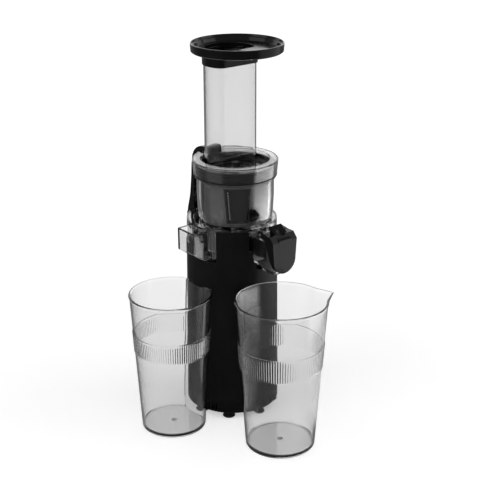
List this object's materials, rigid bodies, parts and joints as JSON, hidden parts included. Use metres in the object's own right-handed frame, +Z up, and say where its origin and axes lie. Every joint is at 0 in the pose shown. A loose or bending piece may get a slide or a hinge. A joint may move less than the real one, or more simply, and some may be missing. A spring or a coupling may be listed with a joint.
{
  "type": "cold press juicer",
  "caption": "Slim upright cold press juicer: motor base, clear juicing bowl with feed tube and tray, locking arm, capped juice spout, pulp chute, and its juice jug and pulp cup.",
  "frame": {"origin": "on the floor, on the upright axis of the motor base", "axes": "+Z up, -Y towards the juice spout, -X towards the pulp chute, +Y towards the locking arm"},
  "size_m": [0.1919, 0.2321, 0.428],
  "materials": {
    "matte_black": "fine matt moulding",
    "gloss_black": "polished moulding",
    "black_plastic": "satin moulding",
    "smoke_clear": "clear smoky moulding",
    "cup_clear": "clear light grey moulding",
    "rubber": "matt",
    "silicone": "soft satin",
    "steel": "fine brushed",
    "magnet": "dull",
    "copper": "turned",
    "gear_plastic": "moulded",
    "board": "coated"
  },
  "bodies": {
    "base": {"base_housing": "matte_black", "bottom_cover": "matte_black", "rubber_feet": "rubber", "base_screws": "steel", "switch_bezel": "black_plastic", "cord_gland": "rubber", "motor_can": "steel", "motor_end_plate": "steel", "motor_magnets": "magnet", "brush_plate": "black_plastic", "carbon_brushes": "copper", "motor_bearing_lower": "steel", "motor_bearing_upper": "steel", "idler_pin": "steel", "gear_case": "black_plastic", "gear_cover": "black_plastic", "output_bearing": "steel", "shaft_seal": "silicone", "control_board": "board", "board_parts": "board", "interlock_switch": "black_plastic"},
    "drive": {"drive_shaft": "steel", "output_gear": "gear_plastic"},
    "idler": {"idler_gear": "gear_plastic"},
    "rotor_set": {"rotor": "steel", "commutator": "copper", "motor_shaft": "steel", "cooling_fan": "black_plastic", "motor_pinion": "steel"},
    "rocker": {"rocker_switch": "black_plastic"},
    "juicing_set": {"bowl": "smoke_clear", "bowl_seal": "silicone", "spout_seal": "silicone", "pulp_chute": "smoke_clear", "juice_spout": "smoke_clear", "cap_pin": "steel", "strainer_frame": "black_plastic", "strainer_mesh": "steel", "lid": "smoke_clear", "lid_gasket": "silicone", "feed_tube": "smoke_clear", "arm_bracket": "gloss_black", "arm_pin": "steel"},
    "auger": {"auger": "black_plastic"},
    "tray": {"hopper_tray": "gloss_black"},
    "arm": {"locking_arm": "gloss_black"},
    "cap": {"drip_cap": "gloss_black", "cap_seal": "silicone"},
    "jug": {"juice_jug": "cup_clear"},
    "pulp_cup": {"pulp_cup": "cup_clear"}
  },
  "joints": [
    {"name": "juicing_set_lift", "type": "slide", "parent": "base", "child": "juicing_set", "axis": [0, 0, 1], "range_m": [0, 0.08]},
    {"name": "drive_spin", "type": "hinge", "parent": "base", "child": "drive", "pos_m": [0, -0.0065, 0], "axis": [0, 0, 1], "continuous": true},
    {"name": "idler_spin", "type": "hinge", "parent": "base", "child": "idler", "pos_m": [0, 0.0295, 0], "axis": [0, 0, 1], "continuous": true},
    {"name": "rotor_spin", "type": "hinge", "parent": "base", "child": "rotor_set", "pos_m": [0, 0.0085, 0], "axis": [0, 0, 1], "continuous": true},
    {"name": "auger_spin", "type": "hinge", "parent": "juicing_set", "child": "auger", "pos_m": [0, -0.0065, 0], "axis": [0, 0, 1], "continuous": true},
    {"name": "rocker_tip", "type": "hinge", "parent": "base", "child": "rocker", "pos_m": [0.0505, 0, 0.07], "axis": [0, 1, 0], "range_deg": [0, 16]},
    {"name": "tray_lift", "type": "slide", "parent": "juicing_set", "child": "tray", "axis": [0, 0, 1], "range_m": [0, 0.03]},
    {"name": "arm_swing", "type": "hinge", "parent": "juicing_set", "child": "arm", "pos_m": [0, 0.0628, 0.2166], "axis": [-1, 0, 0], "range_deg": [0, 70]},
    {"name": "cap_flip", "type": "hinge", "parent": "juicing_set", "child": "cap", "pos_m": [0, -0.0685, 0.2315], "axis": [-1, 0, 0], "range_deg": [0, 65]},
    {"name": "jug_draw", "type": "slide", "parent": "base", "child": "jug", "axis": [0, -1, 0], "range_m": [0, 0.08]},
    {"name": "pulp_cup_draw", "type": "slide", "parent": "base", "child": "pulp_cup", "axis": [-1, 0, 0], "range_m": [0, 0.08]}
  ],
  "couplings": [
    {"joint": "idler_spin", "follows": "drive_spin", "ratio": -5},
    {"joint": "rotor_spin", "follows": "drive_spin", "ratio": 12.5},
    {"joint": "auger_spin", "follows": "drive_spin", "ratio": 1}
  ]
}
